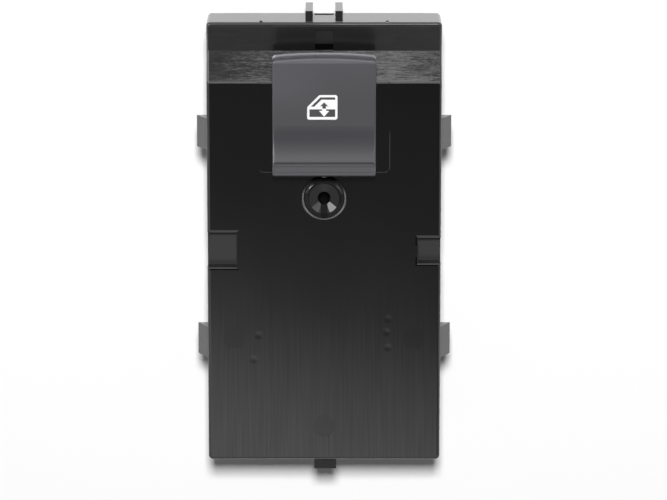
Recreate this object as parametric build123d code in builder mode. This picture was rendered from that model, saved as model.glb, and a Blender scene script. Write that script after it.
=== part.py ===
from build123d import *
import math
import os

os.makedirs("parts", exist_ok=True)

# Window-lifter switch. +Z is the front, +Y is the end with the rocker, the back rests on Z = 0.
# All sizes are in millimetres. Distances called "from the top" run down from the case's +Y end.

# Case outline
case_width = 51.2
case_length = 97.9
case_depth = 14.3
case_wall = 2.2
front_wall = 2.2
plan_radius = 0.9
edge_round = 0.65

# Sloping ledge and ramp at the top end of the front
rim_drop = 0.1
valley_drop = 2.2
valley_from_top = 6.45
ramp_top_from_top = 13.1
ridge_round = 1.0

# Small level pocket in the ledge, with a deeper slot at its lower end, both measured from the valley
ledge_pocket_width = 3.9
ledge_pocket_from_top = 1.6
ledge_pocket_length = 5.1
ledge_pocket_depth = 0.1
ledge_slot_length = 1.5
ledge_slot_depth = 1.0

# Guide ribs and nubs on the top end, locating tab on the bottom end
rib_reach = 2.4
rib_width = 1.6
rib_spacing = 6.5
rib_drop = 1.0
rib_height = 13.1
nub_x = 13.7
nub_width = 0.6
nub_reach = 0.35
nub_height = 1.2
tab_reach = 2.9
tab_width = 4.9
tab_x = 0.25
tab_drop = 3.2
tab_thickness = 2.0
root_overlap = 0.6

# Wedge clips on both sides
clip_reach = 2.3
clip_length = 7.0
clip_drop = 1.5
clip_height = 4.6
clips_from_top = (24.8, 71.5)

# Side pockets, open towards the sides
pocket_depth = 3.8
pocket_wall = 1.4
pocket_rim = 0.35
pocket_rim_deg = 10.0
pocket_bevel = 0.2
pocket_bevel_deg = 30.0
left_pocket_width = 6.4
left_pocket_from_top = 46.4
left_pocket_length = 7.9
right_pocket_width = 5.0
right_pocket_from_top = 47.6
right_pocket_length = 5.8

# Screw boss with a dished mouth
screw_from_top = 38.5
screw_bore_radius = 1.42
screw_collar_radius = 4.5
screw_collar_height = 1.8
screw_collar_round = 1.0
screw_collar_foot = 0.25
screw_mouth_radius = 3.3
screw_cone_depth = 1.0
screw_bore_depth = 9.0
screw_tube_wall = 1.8
screw_floor = 1.2

# Raised field round the button, from the ramp down, and the ejector marks
field_width = 28.8
field_height = 0.25
field_bottom_from_top = 33.0
field_corner = 0.8
field_bevel = 0.15
mark_depth = 0.12
marks = (
    (-19.8, 69.9, 2.4),
    (19.8, 70.1, 2.4),
    (0.0, 90.0, 2.4),
    (19.1, 50.7, 1.75),
    (-13.6, 50.5, 1.3),
)

# Back cover
base_drop = 11.1
base_inset = 1.5
base_floor = 1.8
base_radius = 2.0
base_chamfer = 0.9
plug_height = 3.6
plug_wall = 1.4
plug_gap = 0.15

# Snap hooks of the back cover and their windows in the case
hook_width = 7.4
hook_reach = 1.2
hook_height = 1.5
hook_lift = 1.2
hook_gap = 0.2
hook_from_end = 12.0
end_hook_width = 3.8

# Connector socket in the back
socket_width = 24.0
socket_height = 11.0
socket_depth = 9.0
socket_wall = 1.4
socket_from_top = 48.7
key_width = 1.2
key_depth = 0.8
key_spacing = 15.0
latch_width = 5.0
latch_depth = 0.8
latch_length = 2.4
latch_setback = 1.6

# Terminal pins
pin_count = 6
pin_pitch = 3.0
pin_size = 0.64
pin_recess = 4.4
pin_hole_gap = 0.05
pin_stub = 0.9
pin_tip = 0.18

# Circuit board on the back cover's posts
board_side_gap = 1.85
board_thickness = 1.6
board_gap = 0.2
board_top_from_top = 4.9
board_bottom_from_top = 62.7
post_radius = 2.2
post_pin_radius = 0.9
post_pin_gap = 0.1
post_pin_rise = 0.8
post_inset = 2.7
posts_from_top = (9.3, 59.5)

# Rocker: hinge line, tilt and the turret that carries it
tilt_deg = 6.0
pivot_from_top = 17.1
pivot_height = 1.8
trunnion_radius = 1.3
trunnion_gap = 0.05
turret_width = 17.0
turret_length = 13.2
turret_height = 3.8
turret_wall = 1.7
turret_corner = 0.8
hub_side_gap = 0.2
hub_length = 7.8
hub_wall = 1.3
trunnion_end_gap = 0.2

# Rocker arms over the plungers
arm_reach = 8.8
arm_thickness = 1.4
arm_drop = 5.1
light_radius = 1.4
light_gap = 0.05
light_chamfer = 0.2

# Button cap
cap_width = 22.4
cap_length = 25.95
cap_from_top = 6.75
cap_wall = 1.5
cap_rear_height = 6.9
cap_slope_deg = 1.5
cap_flat_length = 14.8
scoop_radius = 15.0
scoop_angle = 28.0
crest_radius = 1.3
lip_angle = 14.0
nose_radius = 1.75
lip_underside = 5.7
lip_inner_height = 5.0
lip_corner = 0.35
finger_depth = 7.0
cap_ceiling = 5.0
cap_rear_arch = 0.57
cap_corner = 0.8
cap_edge = 0.45
skirt_gap = 0.35
flange_reach = 0.4
flange_height = 1.2
flange_slope_deg = 26.0
flange_slope_height = 0.3
gate_radius = 0.6
gate_reach = 0.1

# Snap legs of the cap, inside the rocker
leg_width = 7.0
leg_thickness = 0.9
leg_gap = 0.05
leg_length = 7.8
barb_reach = 0.6
barb_height = 1.4

# Window-lifter pictogram, let into the cap
icon_x = -0.39
icon_from_rear = 10.68
icon_depth = 0.35
icon_width = 6.55
icon_height = 5.4
icon_stroke = 0.5
icon_sill = 0.6
icon_slant = 2.65
icon_round = 0.5
icon_line = 0.52
icon_line_lift = 0.6
icon_panel_height = 1.66
arrow_x = 0.4
up_arrow_gap = 0.16
up_stem_width = 0.75
up_stem_height = 0.52
up_head_width = 1.7
up_head_height = 0.88
down_stem_width = 0.88
down_stem_height = 0.32
down_head_width = 2.18
down_tip_gap = 0.05

# Plungers, their guide, and the dome mat
plunger_lever = 7.0
plunger_inset = 2.0
plunger_radius = 1.5
plunger_gap = 0.05
plunger_round = 1.2
plunger_foot_radius = 2.2
plunger_foot = 0.8
touch_gap = 0.15
guide_thickness = 1.4
guide_arm_gap = 0.3
guide_foot_gap = 0.15
guide_width = 30.0
guide_length = 24.0
guide_leg = 2.4
guide_window = 2.4
brace_radius = 1.6
brace_x = 12.0
brace_reach = 9.6
mat_width = 21.0
mat_length = 22.4
mat_thickness = 0.8
mat_window = 5.4
dome_base_radius = 3.4
dome_top_radius = 2.3
dome_slope_height = 1.0
dome_skin = 0.6
dome_pill_gap = 0.2
pill_radius = 1.5
pill_thickness = 0.5
pill_stop_gap = 0.05

# Parts on the board: width, length, height
led_size = (3.0, 2.6, 1.9)
led_lens_radius = 1.05
led_lens_height = 0.4
chip_size = (4.0, 5.0, 1.5)
chip_from_top = 35.2
chip_x = -9.0
chip_standoff = 0.1
chip_lead_count = 4
chip_lead_pitch = 1.27
chip_lead_width = 0.42
chip_lead_reach = 1.0
chip_lead_height = 0.25
chip_lead_step = 0.6
resistor_count = 4
resistor_size = (3.2, 1.6, 0.6)
resistor_cap = 0.5
resistor_cap_rise = 0.05
resistor_inset = 9.5
resistor_pitch = 3.4
resistor_from_top = 34.2
capacitor_size = (2.0, 3.2, 1.6)
capacitor_inset = 4.5
capacitors_from_top = (40.2, 44.2)
capacitor_round = 0.25
diode_size = (4.2, 2.7, 1.7)
diode_chamfer = 0.3
diode_tab = 0.6
diode_tab_height = 0.35
diode_x = -9.5
diode_from_top = 56.7

# Levels and places worked out from the sizes above
rear_edge_z = base_drop
face_z = rear_edge_z + case_depth
rim_z = face_z - rim_drop
valley_z = face_z - valley_drop
case_top = case_length / 2 + (tab_reach - rib_reach) / 2
case_bottom = case_top - case_length
half_width = case_width / 2
tilt = math.radians(tilt_deg)


def from_top(distance):
    return case_top - distance


valley_y = from_top(valley_from_top)
ramp_top_y = from_top(ramp_top_from_top)
screw_y = from_top(screw_from_top)
socket_y = from_top(socket_from_top)
pivot_y = from_top(pivot_from_top)
pivot_z = face_z + pivot_height
board_z = socket_depth + socket_wall + board_gap
board_top_z = board_z + board_thickness
arm_top_z = face_z - arm_drop
arm_z = arm_top_z - arm_thickness
guide_top_z = arm_z - arm_reach * math.sin(tilt) - guide_arm_gap
guide_z = guide_top_z - guide_thickness
plunger_travel = plunger_lever * tilt
foot_top_z = guide_z - plunger_travel - guide_foot_gap
foot_z = foot_top_z - plunger_foot
pill_z = board_top_z + plunger_travel + pill_stop_gap
pill_top_z = pill_z + pill_thickness
hub_width = turret_width - 2 * turret_wall - 2 * hub_side_gap
plunger_x = hub_width / 2 - plunger_inset
plunger_places = {
    "front_left": (-plunger_x, pivot_y - plunger_lever),
    "front_right": (plunger_x, pivot_y - plunger_lever),
    "rear_left": (-plunger_x, pivot_y + plunger_lever),
    "rear_right": (plunger_x, pivot_y + plunger_lever),
}
window_z = rear_edge_z + hook_lift - hook_gap
window_height = hook_height + 2 * hook_gap
plug_half_width = half_width - case_wall - plug_gap
side_hooks_from_top = (hook_from_end, case_length / 2, case_length - hook_from_end)
board_width = 2 * (plug_half_width - plug_wall - board_side_gap)
post_x = board_width / 2 - post_inset
resistor_x = board_width / 2 - resistor_inset
capacitor_x = capacitor_inset - board_width / 2


# Front case
with BuildPart() as upper_case:
    with BuildSketch(Plane.YZ):
        with BuildLine():
            Polyline(
                (case_bottom, rear_edge_z),
                (case_bottom, face_z),
                (ramp_top_y, face_z),
                (valley_y, valley_z),
                (case_top, rim_z),
                (case_top, rear_edge_z),
                close=True,
            )
        make_face()
    extrude(amount=half_width, both=True)
    fillet(upper_case.edges().filter_by(Axis.Z), radius=plan_radius)

    # Soft ridge between the ramp and the flat front
    ridge = upper_case.edges().filter_by(Axis.X).sort_by(
        lambda edge: abs(edge.center().Y - ramp_top_y) + abs(edge.center().Z - face_z)
    )[0]
    fillet(ridge, radius=ridge_round)

    # The edge round runs along the outline only, not along the ridge and the valley
    front_faces = upper_case.faces().filter_by(lambda face: face.normal_at().Z > 0.7)
    outline_margin = plan_radius + 0.01
    outline = front_faces.edges().filter_by(
        lambda edge: edge.center().Y > case_top - outline_margin
        or edge.center().Y < case_bottom + outline_margin
        or abs(edge.center().X) > half_width - outline_margin
    )
    fillet(outline, radius=edge_round)

    # Hollow inside, following the front
    ledge_fall = (rim_z - valley_z) * case_wall / valley_from_top
    with BuildSketch(Plane.YZ):
        with BuildLine():
            Polyline(
                (case_bottom + case_wall, rear_edge_z),
                (case_bottom + case_wall, face_z - front_wall),
                (ramp_top_y, face_z - front_wall),
                (valley_y, valley_z - front_wall),
                (case_top - case_wall, rim_z - ledge_fall - front_wall),
                (case_top - case_wall, rear_edge_z),
                close=True,
            )
        make_face()
    extrude(amount=half_width - case_wall, both=True, mode=Mode.SUBTRACT)

    # Side pockets, each with its own walls inside and a rim that falls away in two slopes
    pocket_rim_fall = pocket_rim * math.tan(math.radians(pocket_rim_deg))
    for side, width, top, length in (
        (-1, left_pocket_width, left_pocket_from_top, left_pocket_length),
        (1, right_pocket_width, right_pocket_from_top, right_pocket_length),
    ):
        centre_y = from_top(top + length / 2)
        wall_width = width - case_wall / 2 + pocket_wall
        wall_x = side * (half_width - case_wall / 2 - wall_width / 2)
        with Locations((wall_x, centre_y, face_z - front_wall / 2)):
            Box(
                wall_width,
                length + 2 * pocket_wall,
                pocket_depth + pocket_wall - front_wall / 2,
                align=(Align.CENTER, Align.CENTER, Align.MAX),
            )
        with Locations((side * (half_width - width / 2), centre_y, face_z)):
            Box(
                width,
                length,
                2 * pocket_depth,
                mode=Mode.SUBTRACT,
            )
        for reach, level, slope_deg in (
            (pocket_bevel + pocket_rim, face_z, pocket_rim_deg),
            (pocket_bevel, face_z - pocket_rim_fall, pocket_bevel_deg),
        ):
            with BuildSketch(Plane.XY.offset(level)):
                with Locations((side * (half_width - width / 2), centre_y)):
                    Rectangle(width + 2 * reach, length + 2 * reach)
            extrude(
                amount=-reach * math.tan(math.radians(slope_deg)),
                taper=90 - slope_deg,
                mode=Mode.SUBTRACT,
            )

    # Raised field round the button
    with BuildSketch(Plane.XY.offset(face_z)):
        with Locations((0, from_top((ramp_top_from_top + field_bottom_from_top) / 2))):
            field = Rectangle(field_width, field_bottom_from_top - ramp_top_from_top)
        chamfer(field.vertices().group_by(Axis.Y)[0], length=field_corner)
    extrude(amount=field_height - field_bevel)
    field_top = upper_case.faces().filter_by(
        lambda face: abs(face.center().Z - face_z - field_height + field_bevel) < field_bevel / 2
    ).sort_by(SortBy.AREA)[-1]
    extrude(field_top, amount=field_bevel, taper=45)

    # Turret with the hinge bores
    turret_foot_z = valley_z - front_wall
    with BuildSketch(Plane.XY.offset(turret_foot_z)):
        with Locations((0, pivot_y)):
            turret = Rectangle(turret_width, turret_length)
        fillet(turret.vertices(), radius=turret_corner)
    extrude(amount=face_z + turret_height - turret_foot_z)
    with BuildSketch(Plane.XY.offset(turret_foot_z)):
        with Locations((0, pivot_y)):
            Rectangle(turret_width - 2 * turret_wall, turret_length - 2 * turret_wall)
    extrude(amount=face_z + turret_height - turret_foot_z, mode=Mode.SUBTRACT)
    with Locations(Location((0, pivot_y, pivot_z), (0, 90, 0))):
        Cylinder(trunnion_radius + trunnion_gap, turret_width, mode=Mode.SUBTRACT)

    # Screw boss: raised collar outside, blind tube inside
    screw_axis = Axis((0, screw_y, 0), (0, 0, 1))
    collar_z = face_z + screw_collar_height
    cone_z = collar_z - screw_cone_depth
    bore_floor_z = cone_z - screw_bore_depth
    tube_radius = screw_bore_radius + screw_tube_wall
    with BuildSketch(Plane.XZ.offset(-screw_y)):
        with BuildLine():
            Polyline(
                (0, collar_z),
                (0, bore_floor_z - screw_floor),
                (tube_radius, bore_floor_z - screw_floor),
                (tube_radius, face_z - front_wall / 2),
                (screw_collar_radius + screw_collar_foot, face_z - front_wall / 2),
                (screw_collar_radius + screw_collar_foot, face_z),
                (screw_collar_radius, face_z + screw_collar_foot),
                (screw_collar_radius, collar_z - screw_collar_round),
            )
            RadiusArc(
                (screw_collar_radius, collar_z - screw_collar_round),
                (screw_collar_radius - screw_collar_round, collar_z),
                -screw_collar_round,
            )
            Line((screw_collar_radius - screw_collar_round, collar_z), (0, collar_z))
        make_face()
    revolve(axis=screw_axis)
    with BuildSketch(Plane.XZ.offset(-screw_y)):
        with BuildLine():
            Polyline(
                (0, bore_floor_z),
                (screw_bore_radius, bore_floor_z),
                (screw_bore_radius, cone_z),
                (screw_mouth_radius, collar_z),
                (0, collar_z),
                close=True,
            )
        make_face()
    revolve(axis=screw_axis, mode=Mode.SUBTRACT)

    # Ledge pocket and the slot at its lower end
    for start, length, depth in (
        (ledge_pocket_from_top, ledge_pocket_length, ledge_pocket_depth),
        (
            ledge_pocket_from_top + ledge_pocket_length - ledge_slot_length,
            ledge_slot_length,
            ledge_slot_depth,
        ),
    ):
        with Locations((0, from_top(start + length / 2), valley_z - depth)):
            Box(
                ledge_pocket_width,
                length,
                valley_drop + depth,
                align=(Align.CENTER, Align.CENTER, Align.MIN),
                mode=Mode.SUBTRACT,
            )

    # Guide ribs and nubs on the top end
    for side in (-1, 1):
        with Locations((side * rib_spacing / 2, case_top - root_overlap, rim_z - rib_drop)):
            Box(
                rib_width,
                rib_reach + root_overlap,
                rib_height,
                align=(Align.CENTER, Align.MIN, Align.MAX),
            )
        with Locations((side * nub_x, case_top - root_overlap, rim_z - edge_round)):
            Box(
                nub_width,
                nub_reach + root_overlap,
                nub_height,
                align=(Align.CENTER, Align.MIN, Align.MAX),
            )

    # Locating tab on the bottom end
    with Locations((tab_x, case_bottom + root_overlap, face_z - tab_drop)):
        Box(
            tab_width,
            tab_reach + root_overlap,
            tab_thickness,
            align=(Align.CENTER, Align.MAX, Align.MAX),
        )

    # Wedge clips
    for clip_from_top in clips_from_top:
        with BuildSketch(Plane.XZ.offset(-from_top(clip_from_top))):
            for side in (-1, 1):
                with BuildLine():
                    Polyline(
                        (side * (half_width - root_overlap), face_z - clip_drop),
                        (side * half_width, face_z - clip_drop),
                        (side * (half_width + clip_reach), face_z - clip_drop - clip_height),
                        (side * (half_width - root_overlap), face_z - clip_drop - clip_height),
                        close=True,
                    )
                make_face()
        extrude(amount=clip_length / 2, both=True)

    # Windows for the back cover's hooks
    for hook_from_top in side_hooks_from_top:
        with Locations((0, from_top(hook_from_top), window_z)):
            Box(
                case_width,
                hook_width + 2 * hook_gap,
                window_height,
                align=(Align.CENTER, Align.CENTER, Align.MIN),
                mode=Mode.SUBTRACT,
            )
    for end_y, end_align in ((case_top, Align.MAX), (case_bottom, Align.MIN)):
        with Locations((0, end_y, window_z)):
            Box(
                end_hook_width + 2 * hook_gap,
                case_wall,
                window_height,
                align=(Align.CENTER, end_align, Align.MIN),
                mode=Mode.SUBTRACT,
            )

    # Ejector marks in the front
    with BuildSketch(Plane.XY.offset(face_z - mark_depth)):
        for mark_x, mark_from_top, mark_radius in marks:
            with Locations((mark_x, from_top(mark_from_top))):
                Circle(mark_radius)
    extrude(amount=mark_depth, mode=Mode.SUBTRACT)

    # Braces that hold the plunger guide down, rooted in the ledge and in the flat front
    for side, root_z in ((1, valley_z), (-1, face_z)):
        brace_y = pivot_y + side * brace_reach
        with BuildSketch(Plane.XY.offset(guide_top_z)):
            with Locations((-brace_x, brace_y), (brace_x, brace_y)):
                Circle(brace_radius)
        extrude(amount=root_z - front_wall / 2 - guide_top_z)

upper_case.part.label = "upper_case"
export_step(upper_case.part, "parts/upper_case.step")


# Back cover: tray, plug-in wall, hooks, socket and board posts
with BuildPart() as base_cover:
    tray_width = case_width - 2 * base_inset
    tray_length = case_length - 2 * base_inset
    plug_width = 2 * plug_half_width
    plug_length = case_length - 2 * (case_wall + plug_gap)
    middle_y = (case_top + case_bottom) / 2
    with BuildSketch():
        with Locations((0, middle_y)):
            RectangleRounded(tray_width, tray_length, base_radius)
    extrude(amount=rear_edge_z)
    chamfer(base_cover.faces().sort_by(Axis.Z)[0].edges(), length=base_chamfer)
    with BuildSketch(Plane.XY.offset(rear_edge_z)):
        with Locations((0, middle_y)):
            Rectangle(plug_width, plug_length)
    extrude(amount=plug_height)
    with BuildSketch(Plane.XY.offset(base_floor)):
        with Locations((0, middle_y)):
            Rectangle(plug_width - 2 * plug_wall, plug_length - 2 * plug_wall)
    extrude(amount=rear_edge_z + plug_height - base_floor, mode=Mode.SUBTRACT)

    # Hooks on the long sides
    hook_z = rear_edge_z + hook_lift
    for hook_from_top in side_hooks_from_top:
        with BuildSketch(Plane.XZ.offset(-from_top(hook_from_top))):
            for side in (-1, 1):
                with BuildLine():
                    Polyline(
                        (side * (plug_half_width - root_overlap), hook_z),
                        (side * (plug_half_width + hook_reach), hook_z),
                        (side * plug_half_width, hook_z + hook_height),
                        (side * (plug_half_width - root_overlap), hook_z + hook_height),
                        close=True,
                    )
                make_face()
        extrude(amount=hook_width / 2, both=True)

    # Hooks on the two ends
    with BuildSketch(Plane.YZ):
        for side in (-1, 1):
            plug_end_y = middle_y + side * plug_length / 2
            with BuildLine():
                Polyline(
                    (plug_end_y - side * root_overlap, hook_z),
                    (plug_end_y + side * hook_reach, hook_z),
                    (plug_end_y, hook_z + hook_height),
                    (plug_end_y - side * root_overlap, hook_z + hook_height),
                    close=True,
                )
            make_face()
    extrude(amount=end_hook_width / 2, both=True)

    # Connector socket, its keys, latch ramp and pin holes
    with Locations((0, socket_y, 0)):
        Box(
            socket_width + 2 * socket_wall,
            socket_height + 2 * socket_wall,
            socket_depth + socket_wall,
            align=(Align.CENTER, Align.CENTER, Align.MIN),
        )
        Box(
            socket_width,
            socket_height,
            socket_depth,
            align=(Align.CENTER, Align.CENTER, Align.MIN),
            mode=Mode.SUBTRACT,
        )
    for side in (-1, 1):
        with Locations((side * key_spacing / 2, socket_y - socket_height / 2, 0)):
            Box(
                key_width,
                key_depth,
                socket_depth,
                align=(Align.CENTER, Align.MIN, Align.MIN),
            )
    latch_wall_y = socket_y + socket_height / 2
    with BuildSketch(Plane.YZ):
        with BuildLine():
            Polyline(
                (latch_wall_y, latch_setback),
                (latch_wall_y - latch_depth, latch_setback + latch_length),
                (latch_wall_y, latch_setback + latch_length),
                close=True,
            )
        make_face()
    extrude(amount=latch_width / 2, both=True)
    with BuildSketch(Plane.XY.offset(socket_depth)):
        with Locations((0, socket_y)):
            with GridLocations(pin_pitch, 0, pin_count, 1):
                Rectangle(pin_size + 2 * pin_hole_gap, pin_size + 2 * pin_hole_gap)
    extrude(amount=socket_wall, mode=Mode.SUBTRACT)

    # Board posts with locating pins
    for post_from_top in posts_from_top:
        for side in (-1, 1):
            with Locations((side * post_x, from_top(post_from_top), 0)):
                Cylinder(
                    post_radius,
                    board_z,
                    align=(Align.CENTER, Align.CENTER, Align.MIN),
                )
                Cylinder(
                    post_pin_radius,
                    board_top_z + post_pin_rise,
                    align=(Align.CENTER, Align.CENTER, Align.MIN),
                )

base_cover.part.label = "base_cover"
export_step(base_cover.part, "parts/base_cover.step")


# Side outline of the button cap, from its rear foot over the crest to the finger pocket
cap_rear_y = from_top(cap_from_top)
cap_front_y = cap_rear_y - cap_length
cap_top_z = face_z + cap_rear_height
slope = math.radians(cap_slope_deg)
scoop = math.radians(scoop_angle)
lip = math.radians(lip_angle)
scoop_end = cap_flat_length + scoop_radius * (math.sin(scoop) + math.sin(slope))
crest_end = scoop_end + crest_radius * (math.sin(scoop) + math.sin(lip))
nose_start = cap_length - nose_radius * (1 - math.sin(lip))
lip_length = (nose_start - crest_end) / math.cos(lip)
finger_wall_y = cap_front_y + finger_depth
front_lever = pivot_y - finger_wall_y
rear_foot_z = face_z + skirt_gap
front_foot_z = face_z + field_height + front_lever * math.sin(tilt) + skirt_gap
ceiling_z = face_z + cap_ceiling
flat_end_y = cap_rear_y - cap_flat_length * math.cos(slope)
flat_end_z = cap_top_z - cap_flat_length * math.sin(slope)
icon_plane = Plane(
    origin=(
        icon_x,
        cap_rear_y - icon_from_rear * math.cos(slope),
        cap_top_z - icon_from_rear * math.sin(slope),
    ),
    x_dir=(1, 0, 0),
    z_dir=(0, -math.sin(slope), math.cos(slope)),
)

# Car-door pictogram: slanted frame, glass, dark panel and an arrow each way
with BuildSketch(icon_plane) as icon:
    half_icon = icon_width / 2
    icon_top = icon_height / 2
    panel_y = -icon_top + icon_sill
    waist_y = panel_y + icon_panel_height
    slant_y = icon_top - icon_slant
    with BuildLine():
        Polyline(
            (-half_icon, -icon_top),
            (half_icon, -icon_top),
            (half_icon, icon_top),
            (-half_icon + icon_slant, icon_top),
            (-half_icon, slant_y),
            close=True,
        )
    make_face()
    fillet(icon.vertices(), radius=icon_round)

    # Dark panel below the waist line
    with Locations((0, panel_y + icon_panel_height / 2)):
        Rectangle(icon_width - 2 * icon_stroke, icon_panel_height, mode=Mode.SUBTRACT)

    # Dark line between frame and glass, parallel to the slant at 45 degrees
    outer_offset = slant_y + half_icon - icon_stroke * math.sqrt(2)
    inner_offset = outer_offset - icon_line * math.sqrt(2)
    line_foot_y = waist_y + icon_line_lift
    line_top_y = icon_top - icon_stroke
    line_right_x = half_icon - icon_stroke
    with BuildLine():
        Polyline(
            (line_foot_y - outer_offset, line_foot_y),
            (line_top_y - outer_offset, line_top_y),
            (line_right_x, line_top_y),
            (line_right_x, line_top_y - icon_line),
            (line_top_y - icon_line - inner_offset, line_top_y - icon_line),
            (line_foot_y - inner_offset, line_foot_y),
            close=True,
        )
    make_face(mode=Mode.SUBTRACT)

    # Dark arrow up in the glass
    up_foot_y = waist_y + up_arrow_gap
    up_head_y = up_foot_y + up_stem_height
    with BuildLine():
        Polyline(
            (arrow_x - up_stem_width / 2, up_foot_y),
            (arrow_x - up_stem_width / 2, up_head_y),
            (arrow_x - up_head_width / 2, up_head_y),
            (arrow_x, up_head_y + up_head_height),
            (arrow_x + up_head_width / 2, up_head_y),
            (arrow_x + up_stem_width / 2, up_head_y),
            (arrow_x + up_stem_width / 2, up_foot_y),
            close=True,
        )
    make_face(mode=Mode.SUBTRACT)

    # White arrow down in the panel
    down_head_y = waist_y - down_stem_height
    with BuildLine():
        Polyline(
            (arrow_x - down_stem_width / 2, waist_y + up_arrow_gap / 2),
            (arrow_x - down_stem_width / 2, down_head_y),
            (arrow_x - down_head_width / 2, down_head_y),
            (arrow_x, panel_y + down_tip_gap),
            (arrow_x + down_head_width / 2, down_head_y),
            (arrow_x + down_stem_width / 2, down_head_y),
            (arrow_x + down_stem_width / 2, waist_y + up_arrow_gap / 2),
            close=True,
        )
    make_face()


# Button cap
with BuildPart() as button_cap:
    with BuildSketch(Plane.YZ):
        with BuildLine():
            rear_line = Line((cap_rear_y, rear_foot_z), (cap_rear_y, cap_top_z))
            flat_line = Line(rear_line @ 1, (flat_end_y, flat_end_z))
            scoop_arc = JernArc(
                flat_line @ 1, flat_line % 1, scoop_radius, -(scoop_angle + cap_slope_deg)
            )
            crest_arc = JernArc(scoop_arc @ 1, scoop_arc % 1, crest_radius, scoop_angle + lip_angle)
            lip_line = PolarLine(crest_arc @ 1, lip_length, direction=crest_arc % 1)
            nose_arc = JernArc(lip_line @ 1, lip_line % 1, nose_radius, 90 - lip_angle)
            Polyline(
                nose_arc @ 1,
                (cap_front_y, face_z + lip_underside + lip_corner),
                (cap_front_y + lip_corner, face_z + lip_underside),
                (finger_wall_y - lip_corner, face_z + lip_inner_height),
                (finger_wall_y, face_z + lip_inner_height - lip_corner),
                (finger_wall_y, front_foot_z),
                rear_line @ 0,
            )
        make_face()
    extrude(amount=cap_width / 2, both=True)

    # Rear wall bowed out in plan
    arch_y = cap_rear_y - cap_rear_arch
    with BuildSketch(Plane.XY.offset(face_z)):
        with BuildLine():
            Polyline(
                (-cap_width / 2, arch_y),
                (-cap_width / 2, cap_front_y),
                (cap_width / 2, cap_front_y),
                (cap_width / 2, arch_y),
            )
            ThreePointArc((cap_width / 2, arch_y), (0, cap_rear_y), (-cap_width / 2, arch_y))
        make_face()
    extrude(amount=cap_rear_height + scoop_radius, mode=Mode.INTERSECT)
    rear_corners = button_cap.edges().filter_by(Axis.Z).group_by(Axis.Y)[-1]
    fillet(rear_corners, radius=cap_corner)

    # Soft edge round the upper side
    cap_tops = button_cap.faces().filter_by(lambda face: face.normal_at().Z > 0.5)
    cap_margin = cap_corner + 0.01
    cap_outline = cap_tops.edges().filter_by(
        lambda edge: edge.center().Y > arch_y - cap_margin
        or abs(edge.center().X) > cap_width / 2 - cap_margin
    )
    fillet(cap_outline, radius=cap_edge)

    # Low flange along the foot of the rear wall, bowed like it
    with BuildSketch(Plane.XY.offset(rear_foot_z)) as flange:
        with BuildLine():
            Polyline(
                (-cap_width / 2, arch_y + flange_reach),
                (-cap_width / 2, arch_y - cap_wall),
                (cap_width / 2, arch_y - cap_wall),
                (cap_width / 2, arch_y + flange_reach),
            )
            ThreePointArc(
                (cap_width / 2, arch_y + flange_reach),
                (0, cap_rear_y + flange_reach),
                (-cap_width / 2, arch_y + flange_reach),
            )
        make_face()
        fillet(flange.vertices().group_by(Axis.Y)[-1], radius=cap_corner)
    extrude(amount=flange_height)
    flange_top = flange.sketch.moved(Location((0, 0, flange_height)))
    extrude(flange_top, amount=flange_slope_height, taper=90 - flange_slope_deg)

    # Hollow inside
    cap_inner_rear = arch_y - cap_wall
    cap_inner_front = finger_wall_y + cap_wall
    with Locations((0, (cap_inner_rear + cap_inner_front) / 2, ceiling_z)):
        Box(
            cap_width - 2 * cap_wall,
            cap_inner_rear - cap_inner_front,
            cap_ceiling,
            align=(Align.CENTER, Align.CENTER, Align.MAX),
            mode=Mode.SUBTRACT,
        )

    # Snap legs with barbs
    leg_face = hub_length / 2 - hub_wall - leg_gap
    leg_foot_z = ceiling_z - leg_length
    for side in (-1, 1):
        with BuildSketch(Plane.YZ):
            with BuildLine():
                Polyline(
                    (pivot_y + side * (leg_face - leg_thickness), ceiling_z + root_overlap),
                    (pivot_y + side * (leg_face - leg_thickness), leg_foot_z),
                    (pivot_y + side * leg_face, leg_foot_z),
                    (pivot_y + side * (leg_face + barb_reach), leg_foot_z + barb_height),
                    (pivot_y + side * leg_face, leg_foot_z + barb_height),
                    (pivot_y + side * leg_face, ceiling_z + root_overlap),
                    close=True,
                )
            make_face()
        extrude(amount=leg_width / 2, both=True)

    # Recess for the pictogram, and the moulding gate on the nose
    extrude(icon.sketch, amount=-icon_depth, mode=Mode.SUBTRACT)
    gate_z = (nose_arc @ 1).Y
    with Locations(Location((0, cap_front_y, gate_z), (90, 0, 0))):
        Cylinder(gate_radius, 2 * gate_reach)

button_cap.part.label = "button_cap"
export_step(button_cap.part, "parts/button_cap.step")


# White pictogram inlay
with BuildPart() as icon_inlay:
    extrude(icon.sketch, amount=-icon_depth)

icon_inlay.part.label = "icon_inlay"
export_step(icon_inlay.part, "parts/icon_inlay.step")


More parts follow.
